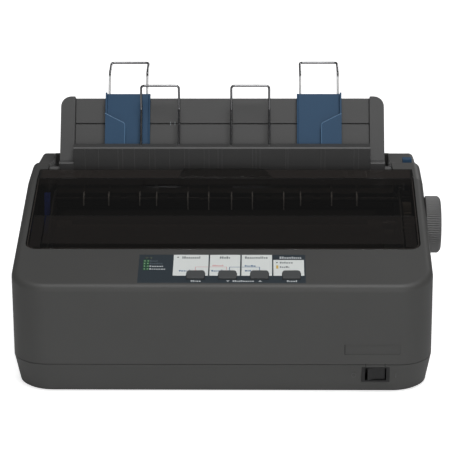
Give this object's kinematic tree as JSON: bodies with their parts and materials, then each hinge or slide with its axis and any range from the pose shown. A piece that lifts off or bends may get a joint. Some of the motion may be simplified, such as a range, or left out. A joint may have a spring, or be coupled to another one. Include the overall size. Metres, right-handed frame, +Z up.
{
  "type": "dot matrix printer",
  "caption": "Impact printer with a sloping deck, hinged smoke cover, ribbed platen path, rear push tractor and tilting sheet guide with sliding edge guides and wire supports.",
  "frame": {"origin": "the centre of the case's footprint, on the surface it stands on", "axes": "+X to the right as seen from the front, along the platen; +Y to the back; +Z up"},
  "size_m": [0.3502, 0.2808, 0.1948],
  "materials": {
    "case_plastic": "moulded ABS with a fine spark-eroded grain, charcoal grey",
    "guide_plastic": "moulded ABS, a shade lighter than the case",
    "guide_front_plastic": "moulded ABS, dark grey",
    "smoke_cover": "clear polycarbonate with a smoke tint, polished",
    "panel_print": "printed polyester label under a satin film",
    "button_plastic": "moulded ABS, satin",
    "light_lens": "clear acrylic, unlit",
    "black_plastic": "moulded black ABS",
    "white_gear": "moulded acetal, natural white",
    "bush_plastic": "oil-filled acetal",
    "knob_plastic": "moulded ABS with fine ribs",
    "blue_plastic": "moulded polystyrene, slate blue",
    "deep_blue_plastic": "moulded acetal, deep blue",
    "rubber": "ground rubber",
    "feet_rubber": "moulded rubber",
    "frame_steel": "zinc-plated pressed steel",
    "shaft_steel": "ground steel",
    "wire_steel": "bright nickel-plated steel wire",
    "screw_steel": "zinc-plated steel",
    "motor_steel": "drawn steel can",
    "brass": "turned brass",
    "head_aluminium": "die-cast, black anodised",
    "board": "glass epoxy with solder resist",
    "power_board": "phenolic board with parts",
    "port_metal": "plated sockets",
    "ink": "inked nylon ribbon"
  },
  "bodies": {
    "root": {"lower_case": "case_plastic", "upper_case": "case_plastic", "control_panel_label": "panel_print", "status_lights": "light_lens", "rubber_feet": "feet_rubber", "screws": "screw_steel", "chassis_plate": "frame_steel", "side_frame_left": "frame_steel", "side_frame_right": "frame_steel", "platen_bushes": "bush_plastic", "paper_chute": "black_plastic", "exit_guide": "black_plastic", "carriage_rod": "shaft_steel", "carriage_rail": "frame_steel", "timing_belt": "rubber", "carriage_motor": "motor_steel", "feed_motor": "motor_steel", "main_board": "board", "power_board": "power_board", "interface_ports": "port_metal", "mains_inlet": "black_plastic", "switch_housing": "black_plastic", "ribbon_cartridge": "black_plastic", "ink_ribbon": "ink", "tractor_support_shaft": "shaft_steel"},
    "cover": {"printer_cover": "smoke_cover"},
    "platen": {"platen_roller": "rubber", "platen_shaft": "shaft_steel", "platen_gear": "white_gear", "feed_knob": "knob_plastic"},
    "lower_idler": {"lower_idler_gear": "white_gear"},
    "rear_idler": {"rear_idler_gear": "white_gear"},
    "pinion": {"motor_pinion": "brass"},
    "tractor_drive": {"tractor_drive_shaft": "shaft_steel"},
    "eject_roller": {"eject_shaft": "shaft_steel", "eject_rollers": "rubber"},
    "carriage": {"head_carriage": "black_plastic", "print_head": "head_aluminium"},
    "belt_drive_pulley": {"drive_pulley": "brass"},
    "belt_idler_pulley": {"idler_pulley": "white_gear"},
    "ribbon_winder": {"ribbon_knob": "black_plastic"},
    "left_tractor": {"tractor_left": "black_plastic"},
    "right_tractor": {"tractor_right": "black_plastic"},
    "left_tractor_cover": {"tractor_cover_left": "black_plastic"},
    "right_tractor_cover": {"tractor_cover_right": "black_plastic"},
    "guide": {"sheet_guide": "guide_plastic", "guide_front_wall": "guide_front_plastic"},
    "left_edge_guide": {"edge_guide_left": "blue_plastic"},
    "right_edge_guide": {"edge_guide_right": "blue_plastic"},
    "front_left_wire": {"wire_support_front_left": "wire_steel"},
    "front_right_wire": {"wire_support_front_right": "wire_steel"},
    "rear_left_wire": {"wire_support_rear_left": "wire_steel"},
    "rear_right_wire": {"wire_support_rear_right": "wire_steel"},
    "release": {"release_lever": "blue_plastic"},
    "thickness": {"thickness_lever": "deep_blue_plastic"},
    "rocker": {"power_rocker": "black_plastic"},
    "key_1": {"button_1": "button_plastic"},
    "key_2": {"button_2": "button_plastic"},
    "key_3": {"button_3": "button_plastic"},
    "key_4": {"button_4": "button_plastic"}
  },
  "joints": [
    {"name": "cover_hinge", "type": "hinge", "parent": "root", "child": "cover", "pos_m": [0, 0.0512, 0.1216], "axis": [-1, 0, 0], "range_deg": [0, 95]},
    {"name": "platen_turn", "type": "hinge", "parent": "root", "child": "platen", "pos_m": [0, 0.0025, 0.0935], "axis": [-1, 0, 0], "continuous": true},
    {"name": "lower_idler_turn", "type": "hinge", "parent": "root", "child": "lower_idler", "pos_m": [0.1472, 0.02693, 0.06439], "axis": [-1, 0, 0], "continuous": true},
    {"name": "rear_idler_turn", "type": "hinge", "parent": "root", "child": "rear_idler", "pos_m": [0.1472, 0.06574, 0.07407], "axis": [-1, 0, 0], "continuous": true},
    {"name": "pinion_turn", "type": "hinge", "parent": "root", "child": "pinion", "pos_m": [0.1472, 0.00701, 0.04768], "axis": [-1, 0, 0], "continuous": true},
    {"name": "tractor_drive_turn", "type": "hinge", "parent": "root", "child": "tractor_drive", "pos_m": [0, 0.0945, 0.0881], "axis": [-1, 0, 0], "continuous": true},
    {"name": "eject_turn", "type": "hinge", "parent": "root", "child": "eject_roller", "pos_m": [0, 0.02127, 0.10925], "axis": [-1, 0, 0], "continuous": true},
    {"name": "carriage_travel", "type": "slide", "parent": "root", "child": "carriage", "axis": [1, 0, 0], "range_m": [0, 0.214]},
    {"name": "drive_pulley_turn", "type": "hinge", "parent": "root", "child": "belt_drive_pulley", "pos_m": [-0.132, -0.0475, 0.038], "axis": [0, 0, -1], "range_deg": [-10, 1760]},
    {"name": "idler_pulley_turn", "type": "hinge", "parent": "root", "child": "belt_idler_pulley", "pos_m": [0.132, -0.0475, 0.038], "axis": [0, 0, -1], "range_deg": [-10, 1760]},
    {"name": "ribbon_knob_turn", "type": "hinge", "parent": "root", "child": "ribbon_winder", "pos_m": [0.112, -0.04363, 0.103], "axis": [0, 0, 1], "continuous": true},
    {"name": "left_tractor_slide", "type": "slide", "parent": "root", "child": "left_tractor", "axis": [1, 0, 0], "range_m": [-0.01, 0.1]},
    {"name": "right_tractor_slide", "type": "slide", "parent": "root", "child": "right_tractor", "axis": [1, 0, 0], "range_m": [-0.1, 0.016]},
    {"name": "left_tractor_cover_hinge", "type": "hinge", "parent": "left_tractor", "child": "left_tractor_cover", "pos_m": [-0.1305, -0.0494, 0.10179], "axis": [0, 1, 0], "range_deg": [-100, 0]},
    {"name": "right_tractor_cover_hinge", "type": "hinge", "parent": "right_tractor", "child": "right_tractor_cover", "pos_m": [0.1225, -0.0494, 0.10179], "axis": [0, -1, 0], "range_deg": [-100, 0]},
    {"name": "guide_tilt", "type": "hinge", "parent": "root", "child": "guide", "pos_m": [0, 0.0735, 0.118], "axis": [-1, 0, 0], "range_deg": [0, 55]},
    {"name": "left_edge_slide", "type": "slide", "parent": "guide", "child": "left_edge_guide", "axis": [1, 0, 0], "range_m": [-0.021, 0.045]},
    {"name": "right_edge_slide", "type": "slide", "parent": "guide", "child": "right_edge_guide", "axis": [1, 0, 0], "range_m": [-0.045, 0.02]},
    {"name": "front_left_wire_slide", "type": "slide", "parent": "guide", "child": "front_left_wire", "axis": [0, -0.5446, -0.8387], "range_m": [0, 0.007]},
    {"name": "front_right_wire_slide", "type": "slide", "parent": "guide", "child": "front_right_wire", "axis": [0, -0.5446, -0.8387], "range_m": [0, 0.007]},
    {"name": "rear_left_wire_slide", "type": "slide", "parent": "left_edge_guide", "child": "rear_left_wire", "axis": [0, -0.5446, -0.8387], "range_m": [0, 0.019]},
    {"name": "rear_right_wire_slide", "type": "slide", "parent": "right_edge_guide", "child": "rear_right_wire", "axis": [0, -0.5446, -0.8387], "range_m": [0, 0.019]},
    {"name": "release_lever_swing", "type": "hinge", "parent": "root", "child": "release", "pos_m": [0.1582, 0.0925, 0.066], "axis": [-1, 0, 0], "range_deg": [0, 13]},
    {"name": "thickness_lever_swing", "type": "hinge", "parent": "root", "child": "thickness", "pos_m": [-0.151, 0.0125, 0.084], "axis": [-1, 0, 0], "range_deg": [0, 18]},
    {"name": "power_rocker_swing", "type": "hinge", "parent": "root", "child": "rocker", "pos_m": [0.1227, -0.132, 0.0169], "axis": [0, 0, 1], "range_deg": [-16, 0]},
    {"name": "button_1_press", "type": "slide", "parent": "root", "child": "key_1", "axis": [0, 0.1916, -0.9815], "range_m": [0, 0.0012], "stiffness_N_per_m": 400, "springref_m": -0.0006},
    {"name": "button_2_press", "type": "slide", "parent": "root", "child": "key_2", "axis": [0, 0.1916, -0.9815], "range_m": [0, 0.0012], "stiffness_N_per_m": 400, "springref_m": -0.0006},
    {"name": "button_3_press", "type": "slide", "parent": "root", "child": "key_3", "axis": [0, 0.1916, -0.9815], "range_m": [0, 0.0012], "stiffness_N_per_m": 400, "springref_m": -0.0006},
    {"name": "button_4_press", "type": "slide", "parent": "root", "child": "key_4", "axis": [0, 0.1916, -0.9815], "range_m": [0, 0.0012], "stiffness_N_per_m": 400, "springref_m": -0.0006}
  ],
  "couplings": [
    {"joint": "lower_idler_turn", "follows": "platen_turn", "ratio": -0.9},
    {"joint": "rear_idler_turn", "follows": "platen_turn", "ratio": 0.9},
    {"joint": "pinion_turn", "follows": "platen_turn", "ratio": 3},
    {"joint": "tractor_drive_turn", "follows": "platen_turn", "ratio": -1.5},
    {"joint": "eject_turn", "follows": "platen_turn", "ratio": -2.7692},
    {"joint": "drive_pulley_turn", "follows": "carriage_travel", "rad_per_m": 138.89},
    {"joint": "idler_pulley_turn", "follows": "carriage_travel", "rad_per_m": 138.89}
  ]
}
